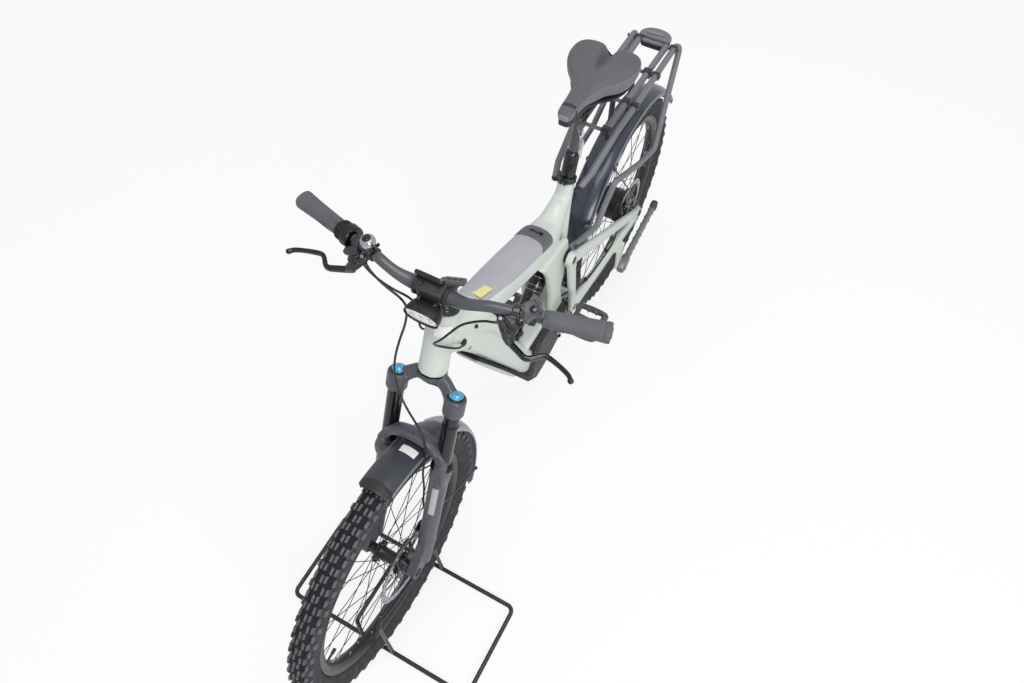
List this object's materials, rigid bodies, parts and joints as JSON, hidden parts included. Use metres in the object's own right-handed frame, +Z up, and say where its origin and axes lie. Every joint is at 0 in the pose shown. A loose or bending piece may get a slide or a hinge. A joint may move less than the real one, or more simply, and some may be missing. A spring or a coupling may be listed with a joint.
{
  "type": "electric bicycle",
  "caption": "Full-suspension electric bicycle with top-tube and down-tube batteries, rack, lights and mudguards, parked upright in a wire floor stand.",
  "frame": {"origin": "on the floor, midway between the two axles, in the centre plane", "axes": "+X forward along the bicycle, +Y to the rider's left, +Z up"},
  "size_m": [2.035, 0.6876, 1.145],
  "materials": {
    "bar_metal": "satin",
    "bell_metal": "satin",
    "belly_plastic": "satin",
    "black_metal": "satin",
    "black_plastic": "matte",
    "blue_anodised": "satin",
    "cover_plastic": "satin",
    "crank_metal": "satin",
    "fork_metal": "matte",
    "frame_paint": "satin",
    "gloss_black": "gloss",
    "gloss_plastic": "gloss",
    "grip_rubber": "matte",
    "lamp_plastic": "satin",
    "lever_metal": "satin",
    "motor_black": "matte",
    "mudguard": "satin",
    "rack_metal": "satin",
    "rotor_steel": "brushed",
    "rubber_black": "matte",
    "saddle_cover": "matte",
    "stand_metal": "gloss",
    "tyre_rubber": "matte"
  },
  "bodies": {
    "frame": {"main_frame": "frame_paint", "upper_battery_cover": "cover_plastic", "battery_latch": "cover_plastic", "lower_battery_cover": "belly_plastic", "drive_unit": "motor_black", "shock_absorber": "gloss_black", "swingarm": "frame_paint", "rear_axle": "black_metal", "rear_caliper": "black_metal", "seatpost": "gloss_black", "seat_clamp": "black_metal", "saddle_rails": "black_metal", "saddle": "saddle_cover", "rack": "rack_metal", "rear_light": "black_plastic", "rear_mudguard": "mudguard", "drive_belt": "rubber_black", "rear_brake_hose": "rubber_black"},
    "steering": {"fork_crown": "fork_metal", "fork_caps": "blue_anodised", "stanchions": "gloss_black", "fork_lowers": "fork_metal", "front_axle": "black_metal", "stem": "black_metal", "handlebar": "bar_metal", "grips": "grip_rubber", "twist_shifter": "gloss_plastic", "brake_levers": "lever_metal", "remote_control": "black_plastic", "bell": "bell_metal", "display": "black_plastic", "headlight": "lamp_plastic", "front_mudguard": "mudguard", "front_caliper": "black_metal", "floor_stand": "stand_metal", "front_brake_hose": "rubber_black", "steering_cables": "rubber_black"},
    "front_wheel": {"front_tyre": "tyre_rubber", "front_wheel_frame": "black_metal", "front_rotor": "rotor_steel"},
    "rear_wheel": {"rear_tyre": "tyre_rubber", "rear_wheel_frame": "black_metal", "rear_rotor": "rotor_steel"},
    "cranks": {"crankset": "crank_metal"},
    "pedal_left": {"left_pedal": "black_plastic"},
    "pedal_right": {"right_pedal": "black_plastic"},
    "side_stand": {"kickstand": "stand_metal"}
  },
  "joints": [
    {"name": "steer", "type": "hinge", "parent": "frame", "child": "steering", "pos_m": [0.3598, 0, 0.87881], "axis": [-0.4226, 0, 0.9063], "range_deg": [-45, 45], "deforming": ["steering_cables"]},
    {"name": "front_wheel_spin", "type": "hinge", "parent": "steering", "child": "front_wheel", "pos_m": [0.6605, 0, 0.357], "axis": [0, 1, 0], "continuous": true},
    {"name": "rear_wheel_spin", "type": "hinge", "parent": "frame", "child": "rear_wheel", "pos_m": [-0.6605, 0, 0.357], "axis": [0, 1, 0], "continuous": true},
    {"name": "crank_turn", "type": "hinge", "parent": "frame", "child": "cranks", "pos_m": [-0.165, 0, 0.36], "axis": [0, 1, 0], "continuous": true},
    {"name": "left_pedal_spin", "type": "hinge", "parent": "cranks", "child": "pedal_left", "pos_m": [-0.09315, 0.158, 0.51407], "axis": [0, 1, 0], "continuous": true},
    {"name": "right_pedal_spin", "type": "hinge", "parent": "cranks", "child": "pedal_right", "pos_m": [-0.23685, -0.158, 0.20593], "axis": [0, 1, 0], "continuous": true},
    {"name": "kickstand_fold", "type": "hinge", "parent": "frame", "child": "side_stand", "pos_m": [-0.5, 0.109, 0.27], "axis": [0, -1, 0], "range_deg": [0, 100]}
  ]
}
